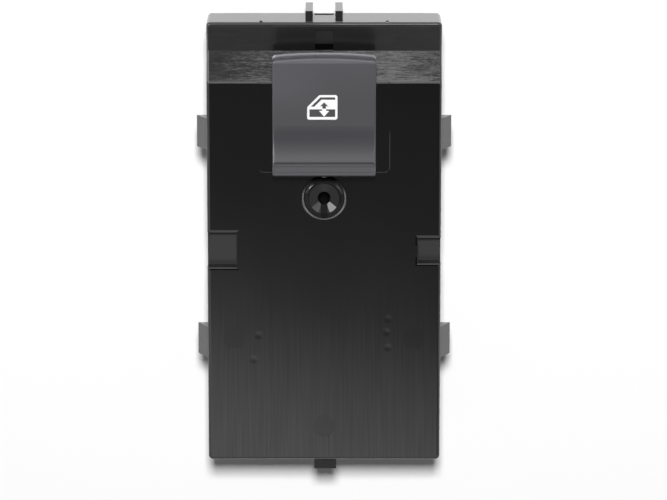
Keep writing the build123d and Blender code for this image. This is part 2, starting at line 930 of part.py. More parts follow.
# Rocker under the cap: hub, arm plate and trunnions
with BuildPart() as rocker_frame:
    with BuildSketch(Plane.XY.offset(arm_z)):
        with Locations((0, pivot_y)):
            Rectangle(hub_width, hub_length)
    extrude(amount=ceiling_z - arm_z)
    with BuildSketch(Plane.XY.offset(arm_z)):
        with Locations((0, pivot_y)):
            Rectangle(hub_width, 2 * arm_reach)
    extrude(amount=arm_thickness)
    with BuildSketch(Plane.XY.offset(arm_top_z)):
        with Locations((0, pivot_y)):
            Rectangle(hub_width - 2 * hub_wall, hub_length - 2 * hub_wall)
    extrude(amount=ceiling_z - arm_top_z, mode=Mode.SUBTRACT)

    # Light guide hole and the windows for the cap's barbs
    with Locations((0, pivot_y, arm_z)):
        Cylinder(
            light_radius + light_gap,
            arm_thickness,
            align=(Align.CENTER, Align.CENTER, Align.MIN),
            mode=Mode.SUBTRACT,
        )
    with Locations((0, pivot_y, leg_foot_z - hook_gap)):
        Box(
            leg_width + 2 * hook_gap,
            hub_length,
            barb_height + 2 * hook_gap,
            align=(Align.CENTER, Align.CENTER, Align.MIN),
            mode=Mode.SUBTRACT,
        )

    # Trunnions
    trunnion_start = hub_width / 2 - hub_wall / 2
    trunnion_end = turret_width / 2 - trunnion_end_gap
    for side in (-1, 1):
        trunnion_x = side * (trunnion_start + trunnion_end) / 2
        with Locations(Location((trunnion_x, pivot_y, pivot_z), (0, 90, 0))):
            Cylinder(trunnion_radius, trunnion_end - trunnion_start)

rocker_frame.part.label = "rocker_frame"
export_step(rocker_frame.part, "parts/rocker_frame.step")


# Light guide from the lamp side of the rocker up to the cap
with BuildPart() as light_guide:
    with Locations((0, pivot_y, arm_z)):
        Cylinder(
            light_radius,
            ceiling_z - arm_z,
            align=(Align.CENTER, Align.CENTER, Align.MIN),
        )
    chamfer(light_guide.edges().group_by(Axis.Z)[0], length=light_chamfer)

light_guide.part.label = "light_guide"
export_step(light_guide.part, "parts/light_guide.step")


# Guide plate of the plungers, on four legs
with BuildPart() as plunger_guide:
    with BuildSketch(Plane.XY.offset(guide_z)):
        with Locations((0, pivot_y)):
            Rectangle(guide_width, guide_length)
            Circle(guide_window, mode=Mode.SUBTRACT)
        with Locations(*plunger_places.values()):
            Circle(plunger_radius + plunger_gap, mode=Mode.SUBTRACT)
    extrude(amount=guide_thickness)
    with BuildSketch(Plane.XY.offset(board_top_z)):
        with Locations((0, pivot_y)):
            with GridLocations(guide_width - guide_leg, guide_length - guide_leg, 2, 2):
                Rectangle(guide_leg, guide_leg)
    extrude(amount=guide_z - board_top_z)

plunger_guide.part.label = "plunger_guide"
export_step(plunger_guide.part, "parts/plunger_guide.step")


# Plungers and the contact pills below them
for place_name, (plunger_at_x, plunger_at_y) in plunger_places.items():
    with BuildPart() as plunger:
        with Locations((plunger_at_x, plunger_at_y, foot_z)):
            Cylinder(
                plunger_foot_radius,
                plunger_foot,
                align=(Align.CENTER, Align.CENTER, Align.MIN),
            )
            Cylinder(
                plunger_radius,
                arm_z - touch_gap - foot_z,
                align=(Align.CENTER, Align.CENTER, Align.MIN),
            )
        fillet(plunger.edges().group_by(Axis.Z)[-1], radius=plunger_round)
    plunger.part.label = f"plunger_{place_name}"
    export_step(plunger.part, f"parts/plunger_{place_name}.step")

    with BuildPart() as contact_pill:
        with Locations((plunger_at_x, plunger_at_y, pill_z)):
            Cylinder(
                pill_radius,
                pill_thickness,
                align=(Align.CENTER, Align.CENTER, Align.MIN),
            )
    contact_pill.part.label = f"contact_pill_{place_name}"
    export_step(contact_pill.part, f"parts/contact_pill_{place_name}.step")


# Silicone mat with a dome under each plunger
with BuildPart() as dome_mat:
    mat_top_z = board_top_z + mat_thickness
    with BuildSketch(Plane.XY.offset(board_top_z)):
        with Locations((0, pivot_y)):
            Rectangle(mat_width, mat_length)
            Rectangle(mat_window, mat_window, mode=Mode.SUBTRACT)
    extrude(amount=mat_thickness)
    with Locations(*[(x, y, mat_top_z) for x, y in plunger_places.values()]):
        Cone(
            dome_base_radius,
            dome_top_radius,
            dome_slope_height,
            align=(Align.CENTER, Align.CENTER, Align.MIN),
        )
        Cylinder(
            dome_top_radius,
            foot_z - mat_top_z,
            align=(Align.CENTER, Align.CENTER, Align.MIN),
        )
    with Locations(*[(x, y, board_top_z) for x, y in plunger_places.values()]):
        Cone(
            dome_base_radius - dome_skin,
            pill_radius + dome_pill_gap,
            pill_top_z - board_top_z,
            align=(Align.CENTER, Align.CENTER, Align.MIN),
            mode=Mode.SUBTRACT,
        )

dome_mat.part.label = "dome_mat"
export_step(dome_mat.part, "parts/dome_mat.step")


# Circuit board with holes for the pins and the posts
with BuildPart() as circuit_board:
    board_top_y = from_top(board_top_from_top)
    board_bottom_y = from_top(board_bottom_from_top)
    with BuildSketch(Plane.XY.offset(board_z)):
        with Locations((0, (board_top_y + board_bottom_y) / 2)):
            Rectangle(board_width, board_top_y - board_bottom_y)
        with Locations((0, socket_y)):
            with GridLocations(pin_pitch, 0, pin_count, 1):
                Circle(pin_size / math.sqrt(2) + pin_hole_gap, mode=Mode.SUBTRACT)
        for post_from_top in posts_from_top:
            with Locations((-post_x, from_top(post_from_top)), (post_x, from_top(post_from_top))):
                Circle(post_pin_radius + post_pin_gap, mode=Mode.SUBTRACT)
    extrude(amount=board_thickness)

circuit_board.part.label = "circuit_board"
export_step(circuit_board.part, "parts/circuit_board.step")


# Terminal pins from the board down into the socket
for pin_index in range(pin_count):
    pin_x = (pin_index - (pin_count - 1) / 2) * pin_pitch
    with BuildPart() as terminal_pin:
        with Locations((pin_x, socket_y, pin_recess)):
            Box(
                pin_size,
                pin_size,
                board_top_z + pin_stub - pin_recess,
                align=(Align.CENTER, Align.CENTER, Align.MIN),
            )
        chamfer(terminal_pin.edges().group_by(Axis.Z)[0], length=pin_tip)
    terminal_pin.part.label = f"terminal_pin_{pin_index + 1}"
    export_step(terminal_pin.part, f"parts/terminal_pin_{pin_index + 1}.step")


# Lamp below the light guide
with BuildPart() as icon_led:
    led_width, led_length, led_height = led_size
    with Locations((0, pivot_y, board_top_z)):
        Box(
            led_width,
            led_length,
            led_height - led_lens_height,
            align=(Align.CENTER, Align.CENTER, Align.MIN),
        )
        Cylinder(
            led_lens_radius,
            led_height,
            align=(Align.CENTER, Align.CENTER, Align.MIN),
        )

icon_led.part.label = "icon_led"
export_step(icon_led.part, "parts/icon_led.step")


# Controller chip with gull-wing leads on both sides
with BuildPart() as controller_chip:
    chip_width, chip_length, chip_height = chip_size
    chip_y = from_top(chip_from_top)
    chip_edge = chip_width / 2
    with Locations((chip_x, chip_y, board_top_z + chip_standoff)):
        Box(
            chip_width,
            chip_length,
            chip_height - chip_standoff,
            align=(Align.CENTER, Align.CENTER, Align.MIN),
        )
    for lead_index in range(chip_lead_count):
        lead_y = chip_y + (lead_index - (chip_lead_count - 1) / 2) * chip_lead_pitch
        with BuildSketch(Plane.XZ.offset(-lead_y)):
            for side in (-1, 1):
                knee_x = chip_x + side * (chip_edge + chip_lead_reach / 2)
                toe_x = chip_x + side * (chip_edge + chip_lead_reach)
                with BuildLine():
                    Polyline(
                        (chip_x, board_top_z + chip_lead_step),
                        (chip_x, board_top_z + chip_lead_step + chip_lead_height),
                        (knee_x, board_top_z + chip_lead_step + chip_lead_height),
                        (knee_x, board_top_z + chip_lead_height),
                        (toe_x, board_top_z + chip_lead_height),
                        (toe_x, board_top_z),
                        (knee_x - side * chip_lead_height, board_top_z),
                        (knee_x - side * chip_lead_height, board_top_z + chip_lead_step),
                        close=True,
                    )
                make_face()
        extrude(amount=chip_lead_width / 2, both=True)

controller_chip.part.label = "controller_chip"
export_step(controller_chip.part, "parts/controller_chip.step")


# Resistors of the switching ladder
resistor_width, resistor_length, resistor_height = resistor_size
for resistor_index in range(resistor_count):
    resistor_y = from_top(resistor_from_top + resistor_index * resistor_pitch)
    with BuildPart() as resistor:
        with Locations((resistor_x, resistor_y, board_top_z)):
            Box(
                resistor_width - 2 * resistor_cap,
                resistor_length,
                resistor_height - resistor_cap_rise,
                align=(Align.CENTER, Align.CENTER, Align.MIN),
            )
        for side in (-1, 1):
            end_x = resistor_x + side * (resistor_width - resistor_cap) / 2
            with Locations((end_x, resistor_y, board_top_z)):
                Box(
                    resistor_cap,
                    resistor_length,
                    resistor_height,
                    align=(Align.CENTER, Align.CENTER, Align.MIN),
                )
    resistor.part.label = f"resistor_{resistor_index + 1}"
    export_step(resistor.part, f"parts/resistor_{resistor_index + 1}.step")


# Capacitors
for capacitor_index, capacitor_from_top in enumerate(capacitors_from_top):
    with BuildPart() as capacitor:
        with Locations((capacitor_x, from_top(capacitor_from_top), board_top_z)):
            Box(*capacitor_size, align=(Align.CENTER, Align.CENTER, Align.MIN))
        fillet(capacitor.edges().filter_by(Axis.Y), radius=capacitor_round)
    capacitor.part.label = f"capacitor_{capacitor_index + 1}"
    export_step(capacitor.part, f"parts/capacitor_{capacitor_index + 1}.step")


# Protection diode with its end tabs
with BuildPart() as diode:
    diode_length, diode_width, diode_height = diode_size
    with Locations((diode_x, from_top(diode_from_top), board_top_z)):
        Box(
            diode_length,
            diode_width,
            diode_height,
            align=(Align.CENTER, Align.CENTER, Align.MIN),
        )
    chamfer(diode.edges().group_by(Axis.Z)[-1], length=diode_chamfer)
    with Locations((diode_x, from_top(diode_from_top), board_top_z)):
        Box(
            diode_length + 2 * diode_tab,
            diode_width / 2,
            diode_tab_height,
            align=(Align.CENTER, Align.CENTER, Align.MIN),
        )

diode.part.label = "diode"
export_step(diode.part, "parts/diode.step")
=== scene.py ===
import math

import bpy
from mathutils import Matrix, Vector

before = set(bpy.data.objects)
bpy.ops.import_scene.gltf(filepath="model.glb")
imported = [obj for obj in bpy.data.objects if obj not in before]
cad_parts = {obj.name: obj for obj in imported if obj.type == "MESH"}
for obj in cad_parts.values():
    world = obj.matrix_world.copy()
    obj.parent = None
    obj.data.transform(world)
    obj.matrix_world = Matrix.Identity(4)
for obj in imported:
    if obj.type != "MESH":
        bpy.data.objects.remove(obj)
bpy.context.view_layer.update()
scene = bpy.context.scene

# Camera: above the front face, leaning towards the end with the rocker, framed as in the photo
TARGET = Vector((0.0, 0.00113, 0.0254))
CAMERA_DISTANCE = 0.8
CAMERA_LEAN = math.radians(12.0)
SENSOR_WIDTH = 36.0
LENS = 197.0
SHIFT_X = 0.0141
SHIFT_Y = -0.0150
NEAREST_SEEN = 0.05

camera_data = bpy.data.cameras.new("camera")
camera_data.sensor_width = SENSOR_WIDTH
camera_data.lens = LENS
camera_data.shift_x = SHIFT_X
camera_data.shift_y = SHIFT_Y
camera_data.clip_start = NEAREST_SEEN
camera = bpy.data.objects.new("camera", camera_data)
camera_way = Vector((0.0, math.sin(CAMERA_LEAN), math.cos(CAMERA_LEAN)))
camera.location = TARGET + CAMERA_DISTANCE * camera_way
camera.rotation_euler = (-CAMERA_LEAN, 0.0, 0.0)
scene.collection.objects.link(camera)
scene.camera = camera

# Nodes that the materials share
WHITE = (1.0, 1.0, 1.0)


def new_material(name):
    material = bpy.data.materials.new(name)
    material.use_nodes = True
    tree = material.node_tree
    tree.nodes.clear()
    output = tree.nodes.new("ShaderNodeOutputMaterial")
    shader = tree.nodes.new("ShaderNodeBsdfPrincipled")
    tree.links.new(shader.outputs["BSDF"], output.inputs["Surface"])
    return material, tree, shader


def noise(tree, scale, detail, roughness=0.55):
    """Noise over the part's own space; scale is in waves per metre along x, y and z."""
    texture = tree.nodes.new("ShaderNodeTexCoord")
    mapping = tree.nodes.new("ShaderNodeMapping")
    mapping.inputs["Scale"].default_value = scale
    tree.links.new(texture.outputs["Object"], mapping.inputs["Vector"])
    node = tree.nodes.new("ShaderNodeTexNoise")
    node.inputs["Scale"].default_value = 1.0
    node.inputs["Detail"].default_value = detail
    node.inputs["Roughness"].default_value = roughness
    tree.links.new(mapping.outputs["Vector"], node.inputs["Vector"])
    return node.outputs["Fac"]


def grey(level, tint=WHITE):
    return (level * tint[0], level * tint[1], level * tint[2], 1.0)


def ramp(tree, factor, stops, tint=WHITE):
    """stops are pairs of a place on the ramp and a grey level."""
    node = tree.nodes.new("ShaderNodeValToRGB")
    elements = node.color_ramp.elements
    for element, (place, level) in ((elements[0], stops[0]), (elements[1], stops[-1])):
        element.position = place
        element.color = grey(level, tint)
    for place, level in stops[1:-1]:
        elements.new(place).color = grey(level, tint)
    tree.links.new(factor, node.inputs["Fac"])
    return node.outputs["Color"]


def plug(tree, socket, value):
    """Sets a number or colour on the socket, or links an output to it."""
    if isinstance(value, (int, float, tuple)):
        socket.default_value = value
    else:
        tree.links.new(value, socket)


def calc(tree, operation, first, second=0.0):
    node = tree.nodes.new("ShaderNodeMath")
    node.operation = operation
    plug(tree, node.inputs[0], first)
    plug(tree, node.inputs[1], second)
    return node.outputs[0]


def product(tree, *factors):
    result = factors[0]
    for factor in factors[1:]:
        result = calc(tree, "MULTIPLY", result, factor)
    return result


def hypotenuse(tree, first, second):
    squares = calc(tree, "ADD", product(tree, first, first), product(tree, second, second))
    return calc(tree, "SQRT", squares)


def step(tree, value, absent, full):
    """0 at absent, 1 at full, smooth between; full may be the smaller one."""
    node = tree.nodes.new("ShaderNodeMapRange")
    node.interpolation_type = "SMOOTHSTEP"
    plug(tree, node.inputs["Value"], value)
    node.inputs["From Min"].default_value = absent
    node.inputs["From Max"].default_value = full
    return node.outputs["Result"]


def blend(tree, factor, first, second):
    """Mix of two colours."""
    node = tree.nodes.new("ShaderNodeMix")
    node.data_type = "RGBA"
    plug(tree, node.inputs["Factor"], factor)
    plug(tree, node.inputs["A"], first)
    plug(tree, node.inputs["B"], second)
    return node.outputs["Result"]


def bump(tree, shader, height, strength, depth, after=None):
    node = tree.nodes.new("ShaderNodeBump")
    node.inputs["Strength"].default_value = strength
    node.inputs["Distance"].default_value = depth
    tree.links.new(height, node.inputs["Height"])
    if after is not None:
        tree.links.new(after, node.inputs["Normal"])
    tree.links.new(node.outputs["Normal"], shader.inputs["Normal"])
    return node.outputs["Normal"]


def split_place(tree):
    """x, y and z in metres, in the part's frame."""
    texture = tree.nodes.new("ShaderNodeTexCoord")
    place = tree.nodes.new("ShaderNodeSeparateXYZ")
    tree.links.new(texture.outputs["Object"], place.inputs[0])
    return place.outputs


def add_masks(tree, masks, regions, measures):
    """A region is the product of its rows. A row is the name of an earlier region, or what is
    measured, its value where the region is absent, and its value where the region is full."""
    for name, rows in regions.items():
        factors = []
        for row in rows:
            if isinstance(row, str):
                factors.append(masks[row])
            else:
                measure, absent, full = row
                factors.append(step(tree, measures[measure], absent, full))
        masks[name] = product(tree, *factors)


def lay(tree, value, masks, levels, tint=WHITE):
    """Lays grey levels over value, one after another, each on its region."""
    for region, level in levels:
        value = blend(tree, masks[region], value, grey(level, tint))
    return value


# Black case: glossy flat front with fine lines, grained ramp, polished ledge, satin walls.
# Several regions carry painted highlights, painted shade or painted sheen, each named below.
# Lengths are in metres: width is the distance from the middle line, radius and from_screw are
# measured from the screw's axis. upward and sideways are parts of the surface's normal.
# left_or_rear is the left half of the case and all that lies behind FIELD_REAR.
SCREW_Y = 0.0107
LEFT_HALF = (0.001, -0.001)
FIELD_REAR = (0.0245, 0.0255)
CASE_REGIONS = {
    "front": (("upward", 0.85, 0.95), ("z", 0.02195, 0.0222)),
    "face": (("z", 0.02495, 0.0252),),
    "lower_front": (("y", 0.0, -0.02), "front"),
    "above_ridge": (("y", 0.03585, 0.03635),),
    # Painted highlight on the ridge where the ramp meets the front
    "ridge_painted_highlight": ("front", ("y", 0.0358, 0.036), ("y", 0.0364, 0.0362)),
    "ramp": ("front", "above_ridge", ("y", 0.042875, 0.042625)),
    "ledge": ("front", ("y", 0.042625, 0.042875)),
    # Painted light: the ledge behind the cap, where the cap is mirrored, is painted paler
    "behind_cap_painted_light": ("ledge", ("width", 0.0118, 0.0106)),
    # Slot in the ledge, painted darkest as painted shade
    "slot": ("ledge", ("width", 0.00205, 0.00195), ("y", 0.0443, 0.0442)),
    # Painted highlight along the rear rim, stronger on its right half
    "rim": ("front", ("y", 0.0487, 0.0489), ("y", 0.0493, 0.0492)),
    "rim_right_painted_highlight": ("rim", ("x", -0.006, 0.006)),
    # Painted highlight on the side edges beside the ramp and ledge, stronger on the left one
    "side_edge_painted_highlight": (
        ("width", 0.0253, 0.0254),
        ("width", 0.0258, 0.0257),
        ("z", 0.0228, 0.0232),
        ("upward", 0.1, 0.2),
        "above_ridge",
    ),
    "left_edge_painted_highlight": ("side_edge_painted_highlight", ("x", 0.001, -0.001)),
    # Painted light: the clips on the sides are painted paler than the black plastic
    "clip_painted_light": (("width", 0.0258, 0.02605),),
    "tab": ("front", ("y", -0.0487, -0.04895)),
    # Painted shade: the rim of the field round the button is painted dark on its left and rear
    "field_rim_painted_shade": (
        ("width", 0.0148, 0.0146),
        ("width", 0.014, 0.0142),
        ("upward", 0.95, 0.85),
        ("y", 0.0164, 0.0168),
        "face",
        "left_or_rear",
    ),
    # Painted highlight on the step at the bottom end of the field round the button
    "field_end_painted_highlight": (
        ("width", 0.0146, 0.0144),
        ("upward", 0.95, 0.85),
        ("y", 0.0165, 0.0164),
        ("y", 0.0159, 0.016),
        "face",
    ),
    "pocket_side": (
        ("sideways", 0.1, 0.15),
        ("width", 0.0165, 0.017),
        ("width", 0.0248, 0.0246),
        ("upward", 0.6, 0.7),
    ),
    # Pocket floors, painted paler than the black plastic as painted light
    "pocket_floor": (
        ("z", 0.0222, 0.022),
        ("z", 0.021, 0.0212),
        ("upward", 0.9, 0.95),
        ("width", 0.0165, 0.017),
    ),
    # The boss round the screw hole; its dark grey is painted shade in the funnel
    "boss": (("radius", 0.00453, 0.00448), "face"),
    "boss_shade": ("boss", ("from_screw", -0.0002, -0.0008), ("width", 0.0009, 0.0006)),
    "collar": ("boss", ("radius", 0.0033, 0.0034)),
    "collar_rear": ("collar", ("from_screw", 0.0008, 0.0016)),
    # Painted highlight: a pale ring round the foot of the boss, palest towards the bottom end
    "foot_painted_highlight": (
        ("radius", 0.00443, 0.00448),
        ("radius", 0.0048, 0.00475),
        ("from_screw", 0.0026, 0.0),
        "face",
    ),
    "foot_low_painted_highlight": ("foot_painted_highlight", ("from_screw", -0.001, -0.004)),
    "foot_flat_painted_highlight": (
        ("radius", 0.00475, 0.0048),
        ("radius", 0.00505, 0.005),
        ("from_screw", 0.0, -0.003),
        "face",
    ),
    "foot_high": (
        ("radius", 0.00443, 0.00448),
        ("radius", 0.00505, 0.0048),
        ("from_screw", 0.0, 0.0018),
        "face",
    ),
}
EJECTOR_RADIUS = 0.0024
EJECTOR_EDGE = 0.00025
EJECTOR_MARKS = ((-0.0198, -0.0207), (0.0198, -0.0209), (0.0, -0.0408))
SINK_RADIUS = 0.0011
SINK_MARKS = (
    (-0.0144, -0.0203),
    (-0.0155, -0.0258),
    (0.0141, -0.0166),
    (0.0138, -0.0196),
    (0.0141, -0.0231),
)

# Waves per metre along x, y and z, then detail and roughness of each noise
CASE_NOISES = {
    "clouds": ((60.0, 60.0, 60.0), 4.0, 0.55),
    "wide": ((45.0, 30.0, 45.0), 2.0, 0.55),
    "long_scratches": ((220.0, 3600.0, 600.0), 4.0, 0.7),
    "short_scratches": ((1000.0, 4200.0, 900.0), 4.0, 0.8),
    "lines": ((4200.0, 60.0, 300.0), 1.0, 0.5),
    "grain": ((1500.0, 1500.0, 1500.0), 2.0, 0.6),
    "across": ((260.0, 3600.0, 600.0), 3.0, 0.6),
}

# Grey levels: ramps over a noise first, then one level a region, in the order they are laid
WALL_GREYS = ((0.3, 0.018), (0.7, 0.022))
FRONT_GREY = 0.0036
# The ramp's speckled grain; its paler speckles are painted sheen
SPECKLE_AND_SHEEN_GREYS = ((0.25, 0.002), (0.6, 0.02), (1.0, 0.14))
LEDGE_GREYS = ((0.35, 0.002), (0.65, 0.011))
# Painted light on the ledge behind the cap, paler than the rest of the ledge
BEHIND_CAP_GREYS = ((0.3, 0.007), (0.7, 0.013))
CASE_GREYS = (
    # Painted shade: the slot in the ledge is painted darkest
    ("slot", 0.002),
    # Painted highlights: the rear rim, paler still on its right half
    ("rim", 0.13),
    ("rim_right_painted_highlight", 0.5),
    # Painted highlights on the side edges, stronger on the left
    ("side_edge_painted_highlight", 0.06),
    ("left_edge_painted_highlight", 0.2),
    # Painted light: the pocket floors are painted paler than the black plastic
    ("pocket_floor", 0.032),
    ("tab", 0.006),
    # Painted shade: the boss and funnel round the screw hole are painted a dark grey
    ("boss", 0.009),
    # Painted highlight ring round the foot of the boss, palest towards the bottom end, with the
    # flat just outside it
    ("foot_painted_highlight", 0.15),
    ("foot_low_painted_highlight", 0.42),
    ("foot_flat_painted_highlight", 0.12),
    # Painted highlight on the step at the bottom end of the field
    ("field_end_painted_highlight", 0.05),
    # Painted highlight on the ridge
    ("ridge_painted_highlight", 0.1),
    # Painted shade on the left and rear of the field's rim
    ("field_rim_painted_shade", 0.005),
    # Painted light on the clips
    ("clip_painted_light", 0.05),
)

# Painted sheen of the grained ramp, darkest at its left end, lightest right of the middle, a
# little darker again at its right end, and paler towards the ridge: what is measured, where it
# starts and is full, and what it adds to the scratches before their middle is taken off
RAMP_PAINTED_SHEEN = (
    ("x", -0.0256, -0.012, 0.18),
    ("x", -0.004, 0.006, 0.16),
    ("x", 0.013, 0.0256, -0.14),
    ("y", 0.0381, 0.0361, 0.12),
)
SCRATCH_MIDDLE = 0.5

WALL_ROUGHNESS = 0.18
FRONT_ROUGHNESS = ((0.3, 0.07), (0.7, 0.1))
CASE_ROUGHNESS = (("ramp", 0.38), ("ledge", 0.2), ("boss", 0.06))
PLAIN_SPECULAR = 0.5
LINE_SPECULAR = ((0.3, 0.45), (0.7, 0.56))
CASE_SPECULAR = (
    ("tab", 0.2),
    ("ramp", 0.2),
    ("ejectors", 0.46),
    ("pocket_side", 0.1),
    ("field_rim_painted_shade", 0.08),
    ("slot", 0.06),
    ("pocket_floor", 0.25),
    ("boss", 0.25),
    ("collar", 0.12),
    ("collar_rear", 0.45),
    ("boss_shade", 0.04),
    ("foot_high", 0.05),
)

# Strength and depth of each bump, in the order they are laid
CASE_BUMPS = {
    "grain": (0.1, 0.00002),
    "across": (0.5, 0.00003),
    "lines": (0.05, 0.00001),
    "wide": (0.08, 0.0001),
    "sinks": (0.12, 0.00004),
}


def spots(tree, x, y, centres, radius, edge):
    """Round spots that fade from radius inwards, over edge."""
    result = None
    for centre_x, centre_y in centres:
        away = hypotenuse(
            tree, calc(tree, "SUBTRACT", x, centre_x), calc(tree, "SUBTRACT", y, centre_y)
        )
        spot = step(tree, away, radius, radius - edge)
        result = spot if result is None else calc(tree, "MAXIMUM", result, spot)
    return result


def case_masks(tree):
    x, y, z = split_place(tree)
    geometry = tree.nodes.new("ShaderNodeNewGeometry")
    normal = tree.nodes.new("ShaderNodeSeparateXYZ")
    tree.links.new(geometry.outputs["True Normal"], normal.inputs[0])
    from_screw = calc(tree, "SUBTRACT", y, SCREW_Y)
    measures = {
        "x": x,
        "y": y,
        "z": z,
        "width": calc(tree, "ABSOLUTE", x),
        "upward": normal.outputs["Z"],
        "sideways": calc(tree, "ABSOLUTE", normal.outputs["X"]),
        "from_screw": from_screw,
        "radius": hypotenuse(tree, x, from_screw),
    }
    left = step(tree, x, *LEFT_HALF)
    masks = {"left_or_rear": calc(tree, "MAXIMUM", left, step(tree, y, *FIELD_REAR))}
    add_masks(tree, masks, CASE_REGIONS, measures)
    ejectors = spots(tree, x, y, EJECTOR_MARKS, EJECTOR_RADIUS, EJECTOR_EDGE)
    masks["ejectors"] = product(tree, ejectors, masks["front"])
    sinks = spots(tree, x, y, SINK_MARKS, SINK_RADIUS, SINK_RADIUS)
    masks["sinks"] = product(tree, sinks, masks["front"])
    return masks, measures


def case_material():
    material, tree, shader = new_material("case_black")
    masks, measures = case_masks(tree)
    front = masks["front"]
    waves = {name: noise(tree, *row) for name, row in CASE_NOISES.items()}

    # Scratches of the grained ramp, with its painted sheen added across it
    scratches_and_sheen = calc(tree, "ADD", waves["long_scratches"], waves["short_scratches"])
    for measure, start, full, share in RAMP_PAINTED_SHEEN:
        sheen_share = product(tree, step(tree, measures[measure], start, full), share)
        scratches_and_sheen = calc(tree, "ADD", scratches_and_sheen, sheen_share)
    scratches_and_sheen = calc(tree, "SUBTRACT", scratches_and_sheen, SCRATCH_MIDDLE)
    colour = blend(tree, front, ramp(tree, waves["clouds"], WALL_GREYS), grey(FRONT_GREY))
    for region, wave, greys in (
        ("ramp", scratches_and_sheen, SPECKLE_AND_SHEEN_GREYS),
        ("ledge", waves["long_scratches"], LEDGE_GREYS),
        ("behind_cap_painted_light", waves["short_scratches"], BEHIND_CAP_GREYS),
    ):
        colour = blend(tree, masks[region], colour, ramp(tree, wave, greys))
    colour = lay(tree, colour, masks, CASE_GREYS)
    tree.links.new(colour, shader.inputs["Base Color"])

    polished = ramp(tree, waves["wide"], FRONT_ROUGHNESS)
    rough = blend(tree, front, grey(WALL_ROUGHNESS), polished)
    rough = lay(tree, rough, masks, CASE_ROUGHNESS)
    tree.links.new(rough, shader.inputs["Roughness"])

    drawn = ramp(tree, waves["lines"], LINE_SPECULAR)
    gloss = blend(tree, masks["lower_front"], grey(PLAIN_SPECULAR), drawn)
    gloss = lay(tree, gloss, masks, CASE_SPECULAR)
    tree.links.new(gloss, shader.inputs["Specular IOR Level"])

    heights = {
        "grain": product(tree, waves["grain"], calc(tree, "SUBTRACT", 1.0, front)),
        "across": product(tree, waves["across"], masks["ramp"]),
        "lines": product(tree, waves["lines"], masks["lower_front"]),
        "wide": product(tree, waves["wide"], front),
        "sinks": calc(tree, "SUBTRACT", 1.0, masks["sinks"]),
    }
    laid = None
    for name, (strength, depth) in CASE_BUMPS.items():
        laid = bump(tree, shader, heights[name], strength, depth, laid)
    return material


# Grey button: soft matte face with a smoother crest and lip. Painted light makes it paler
# towards the rear, on the left of the rear and on the rear wall; painted highlights lie on the
# lip and the foot of the rear wall, and painted shade on the nose
BUTTON_TINT = (0.97, 0.97, 1.07)
BUTTON_REGIONS = {
    # Painted light: the rear half, the left of the rear and the rear wall are painted paler
    "rear_half_painted_light": (("y", 0.031, 0.0425),),
    "rear_left": (("y", 0.029, 0.037), ("x", 0.004, -0.011)),
    "rear_wall_painted_light": (("y", 0.0412, 0.0416),),
    "lip_painted_highlight": (("y", 0.0191, 0.0188), ("y", 0.0167, 0.0169)),
    "nose_painted_shade": (("y", 0.0169, 0.0167),),
    "flange_painted_highlight": ("rear_wall_painted_light", ("z", 0.0271, 0.0269)),
    "before_crest": (("y", 0.0206, 0.02),),
}
BUTTON_CLOUDS = 90.0
BUTTON_GRAIN = 3000.0
BUTTON_GRAIN_STRENGTH = 0.06
FACE_GREYS = ((0.0, 0.046), (1.0, 0.051))
BUTTON_GREYS = (
    # Painted light on the rear half, the left of the rear and the rear wall
    ("rear_half_painted_light", 0.061),
    ("rear_left", 0.068),
    ("rear_wall_painted_light", 0.11),
    # Painted highlight band on the lip
    ("lip_painted_highlight", 0.074),
    # Painted shade on the nose
    ("nose_painted_shade", 0.036),
    # Painted highlight on the foot of the rear wall
    ("flange_painted_highlight", 0.3),
)
FACE_ROUGHNESS = ((0.0, 0.27), (1.0, 0.3))
BUTTON_ROUGHNESS = (("before_crest", 0.12),)
BUTTON_SPECULAR = (("nose_painted_shade", 0.25),)
CLOUD_DETAIL = 4.0
GRAIN_DETAIL = 2.0
GRAIN_ROUGHNESS = 0.6
GRAIN_DEPTH = 0.00002


def clouds_and_grain(tree, cloud, grain):
    """Slow and fine noise, the same along x, y and z."""
    clouds = noise(tree, (cloud, cloud, cloud), CLOUD_DETAIL)
    return clouds, noise(tree, (grain, grain, grain), GRAIN_DETAIL, GRAIN_ROUGHNESS)


def button_material():
    material, tree, shader = new_material("button_soft_matte")
    x, y, z = split_place(tree)
    masks = {}
    add_masks(tree, masks, BUTTON_REGIONS, {"x": x, "y": y, "z": z})
    clouds, fine = clouds_and_grain(tree, BUTTON_CLOUDS, BUTTON_GRAIN)
    colour = ramp(tree, clouds, FACE_GREYS, BUTTON_TINT)
    colour = lay(tree, colour, masks, BUTTON_GREYS, BUTTON_TINT)
    tree.links.new(colour, shader.inputs["Base Color"])
    rough = lay(tree, ramp(tree, clouds, FACE_ROUGHNESS), masks, BUTTON_ROUGHNESS)
    tree.links.new(rough, shader.inputs["Roughness"])
    gloss = lay(tree, grey(PLAIN_SPECULAR), masks, BUTTON_SPECULAR)
    tree.links.new(gloss, shader.inputs["Specular IOR Level"])
    bump(tree, shader, fine, BUTTON_GRAIN_STRENGTH, GRAIN_DEPTH)
    return material


# The other materials: grey level and roughness vary between two values with slow clouds, and
# fine grain is only bump
CLOUD_LOW = 0.3
CLOUD_HIGH = 0.7


def plastic(name, greys, roughness, tint=WHITE, cloud=90.0, grain=2600.0, grain_strength=0.2):
    material, tree, shader = new_material(name)
    clouds, fine = clouds_and_grain(tree, cloud, grain)
    colour = ramp(tree, clouds, tuple(zip((CLOUD_LOW, CLOUD_HIGH), greys)), tint)
    tree.links.new(colour, shader.inputs["Base Color"])
    rough = ramp(tree, clouds, tuple(zip((CLOUD_LOW, CLOUD_HIGH), roughness)))
    tree.links.new(rough, shader.inputs["Roughness"])
    bump(tree, shader, fine, grain_strength, GRAIN_DEPTH)
    return material, shader


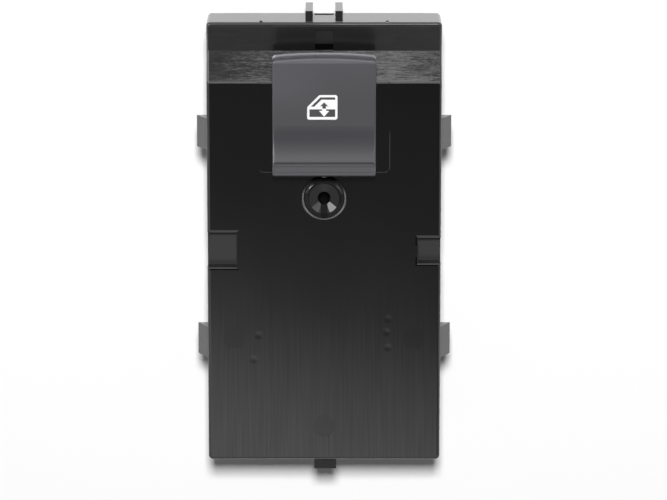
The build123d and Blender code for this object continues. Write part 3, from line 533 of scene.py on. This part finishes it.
def assign(material, *nodes):
    for node in nodes:
        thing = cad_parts[node]
        if not thing.material_slots:
            thing.data.materials.append(material)
        for slot in thing.material_slots:
            slot.link = "DATA"
            slot.material = material


def numbered(name, count):
    return ["%s_%d" % (name, index + 1) for index in range(count)]


def cornered(name):
    return [
        "%s_%s" % (name, corner)
        for corner in ("front_left", "front_right", "rear_left", "rear_right")
    ]


assign(case_material(), "upper_case")
assign(button_material(), "button_cap")

base, _ = plastic(
    "base_fine_texture",
    greys=(0.014, 0.02),
    roughness=(0.5, 0.58),
    cloud=80.0,
    grain=2200.0,
    grain_strength=0.35,
)
assign(base, "base_cover")

icon, _ = plastic(
    "icon_white_print", greys=(0.8, 0.86), roughness=(0.5, 0.6), cloud=400.0, grain=3000.0
)
assign(icon, "icon_inlay")

inner, _ = plastic("inner_grey_plastic", greys=(0.2, 0.26), roughness=(0.42, 0.5))
assign(inner, "rocker_frame", "plunger_guide")

plunger, _ = plastic(
    "plunger_natural", greys=(0.74, 0.8), roughness=(0.4, 0.46), tint=(1.0, 0.99, 0.95)
)
assign(plunger, *cornered("plunger"))

carbon, _ = plastic("contact_carbon", greys=(0.01, 0.016), roughness=(0.6, 0.7))
assign(carbon, *cornered("contact_pill"))

silicone, _ = plastic(
    "silicone_mat", greys=(0.45, 0.52), roughness=(0.55, 0.62), tint=(0.97, 1.0, 1.0)
)
assign(silicone, "dome_mat")

board, _ = plastic(
    "solder_mask", greys=(0.1, 0.14), roughness=(0.25, 0.32), tint=(0.15, 1.0, 0.35)
)
assign(board, "circuit_board")

chip, _ = plastic("chip_epoxy", greys=(0.02, 0.03), roughness=(0.5, 0.6))
assign(chip, "controller_chip", "diode", *numbered("resistor", 4))

ceramic, _ = plastic(
    "ceramic_body", greys=(0.34, 0.4), roughness=(0.4, 0.5), tint=(1.0, 0.75, 0.5)
)
assign(ceramic, *numbered("capacitor", 2))

led, _ = plastic("led_body", greys=(0.78, 0.84), roughness=(0.3, 0.4), tint=(1.0, 0.98, 0.8))
assign(led, "icon_led")

clear, clear_shader = plastic("light_guide_clear", greys=(0.8, 0.86), roughness=(0.06, 0.1))
clear_shader.inputs["Transmission Weight"].default_value = 0.9
assign(clear, "light_guide")

tin, tin_shader = plastic("pin_tinned", greys=(0.7, 0.78), roughness=(0.22, 0.3))
tin_shader.inputs["Metallic"].default_value = 1.0
assign(tin, *numbered("terminal_pin", 6))


def seen_rays(tree):
    """1 for rays from the camera, mirrors and glass, 0 for the rays that light the object; and
    the same without the camera's rays."""
    path = tree.nodes.new("ShaderNodeLightPath")
    glossy = path.outputs["Is Glossy Ray"]
    mirrored = calc(tree, "MAXIMUM", glossy, path.outputs["Is Transmission Ray"])
    return calc(tree, "MAXIMUM", path.outputs["Is Camera Ray"], mirrored), mirrored


# Floor: pale paper just below the part, lifted a little for the rays that see it
FLOOR_COLOUR = 0.9
FLOOR_LIFT = 0.025
FLOOR_LEVEL = -0.0001
FLOOR_HALF = 3.0

paper, paper_tree, paper_shader = new_material("floor_paper")
paper_shader.inputs["Base Color"].default_value = grey(FLOOR_COLOUR)
paper_shader.inputs["Roughness"].default_value = 1.0
paper_shader.inputs["Specular IOR Level"].default_value = 0.0
paper_shader.inputs["Emission Color"].default_value = grey(1.0)
floor_seen, _ = seen_rays(paper_tree)
floor_lift = product(paper_tree, floor_seen, FLOOR_LIFT)
paper_tree.links.new(floor_lift, paper_shader.inputs["Emission Strength"])
floor_mesh = bpy.data.meshes.new("floor")
floor_mesh.from_pydata(
    [
        (side_x * FLOOR_HALF, side_y * FLOOR_HALF, FLOOR_LEVEL)
        for side_x, side_y in ((-1, -1), (1, -1), (1, 1), (-1, 1))
    ],
    [],
    [(0, 1, 2, 3)],
)
floor = bpy.data.objects.new("floor", floor_mesh)
floor.data.materials.append(paper)
scene.collection.objects.link(floor)


def softbox(name, direction, distance, size, power, mirrored):
    """mirrored True: seen only in gloss; False: lights only the colour of things."""
    data = bpy.data.lights.new(name, "AREA")
    data.shape = "RECTANGLE"
    data.size, data.size_y = size
    data.energy = power
    lamp = bpy.data.objects.new(name, data)
    lamp.visible_glossy = mirrored
    lamp.visible_diffuse = not mirrored
    way = Vector(direction).normalized()
    lamp.location = TARGET + way * distance
    lamp.rotation_euler = way.to_track_quat("Z", "Y").to_euler()
    scene.collection.objects.link(lamp)


softbox(
    "key",
    direction=(0.0, 0.334, 0.943),
    distance=1.2,
    size=(0.12, 0.16),
    power=16.0,
    mirrored=False,
)
softbox(
    "softbox_left",
    direction=(-0.53, 0.47, 0.7),
    distance=1.0,
    size=(0.5, 0.3),
    power=6.5,
    mirrored=True,
)
softbox(
    "softbox_right",
    direction=(0.53, 0.47, 0.7),
    distance=1.0,
    size=(0.5, 0.3),
    power=1.3,
    mirrored=True,
)

# World: white for the camera and a weak even fill for the colour of things. Gloss and glass see
# a sky whose level changes along y, as y over z of the ray, and is dark overhead.
WORLD_FILL = 0.1
SKY_TOP = 2.0
SKY_SPAN = 2.5
SKY_LEAN = 0.25
SKY_LOWEST = 0.02
SKY_ASIDE = (0.3, 1.0)
SKY = (
    (-2.5, 1.30),
    (-1.6, 1.00),
    (-1.15, 0.36),
    (-1.0, 0.42),
    (-0.78, 1.10),
    (-0.50, 1.50),
    (-0.36, 2.00),
    (-0.30, 1.95),
    (-0.275, 1.75),
    (-0.26, 1.35),
    (-0.249, 1.00),
    (-0.235, 0.42),
    (-0.215, 0.25),
    (-0.2, 0.18),
    (-0.18, 0.25),
    (-0.162, 0.14),
    (-0.139, 0.06),
    (0.0, 0.05),
    (0.2, 0.10),
    (0.35, 0.25),
    (0.5, 0.65),
    (0.7, 1.70),
    (0.9, 2.00),
    (2.5, 1.60),
)

world = bpy.data.worlds.new("studio")
world.use_nodes = True
world.cycles.sampling_method = "NONE"
scene.world = world
sky_tree = world.node_tree
ray = sky_tree.nodes.new("ShaderNodeTexCoord")
ray_parts = sky_tree.nodes.new("ShaderNodeSeparateXYZ")
sky_tree.links.new(ray.outputs["Generated"], ray_parts.inputs[0])
height = calc(sky_tree, "MAXIMUM", ray_parts.outputs["Z"], SKY_LOWEST)
along = calc(sky_tree, "DIVIDE", ray_parts.outputs["Y"], height)
aside = calc(sky_tree, "DIVIDE", ray_parts.outputs["X"], height)
place = calc(sky_tree, "ADD", along, product(sky_tree, aside, SKY_LEAN))
place = calc(sky_tree, "DIVIDE", calc(sky_tree, "ADD", place, SKY_SPAN), 2 * SKY_SPAN)
stops = [((at + SKY_SPAN) / (2 * SKY_SPAN), level / SKY_TOP) for at, level in SKY]
sky = ramp(sky_tree, place, stops)
far_aside = step(sky_tree, calc(sky_tree, "ABSOLUTE", aside), *SKY_ASIDE)
sky = blend(sky_tree, far_aside, sky, grey(1.0 / SKY_TOP))

background = sky_tree.nodes["Background"]
sky_tree.links.new(sky, background.inputs["Color"])
background.inputs["Strength"].default_value = SKY_TOP
plain = sky_tree.nodes.new("ShaderNodeBackground")
plain.inputs["Color"].default_value = grey(1.0)
sky_seen, sky_mirrored = seen_rays(sky_tree)
plain_strength = calc(sky_tree, "ADD", WORLD_FILL, product(sky_tree, sky_seen, 1.0 - WORLD_FILL))
sky_tree.links.new(plain_strength, plain.inputs["Strength"])
either = sky_tree.nodes.new("ShaderNodeMixShader")
sky_tree.links.new(sky_mirrored, either.inputs["Fac"])
sky_tree.links.new(plain.outputs[0], either.inputs[1])
sky_tree.links.new(background.outputs[0], either.inputs[2])
sky_tree.links.new(either.outputs[0], sky_tree.nodes["World Output"].inputs["Surface"])

scene.view_settings.view_transform = "Standard"
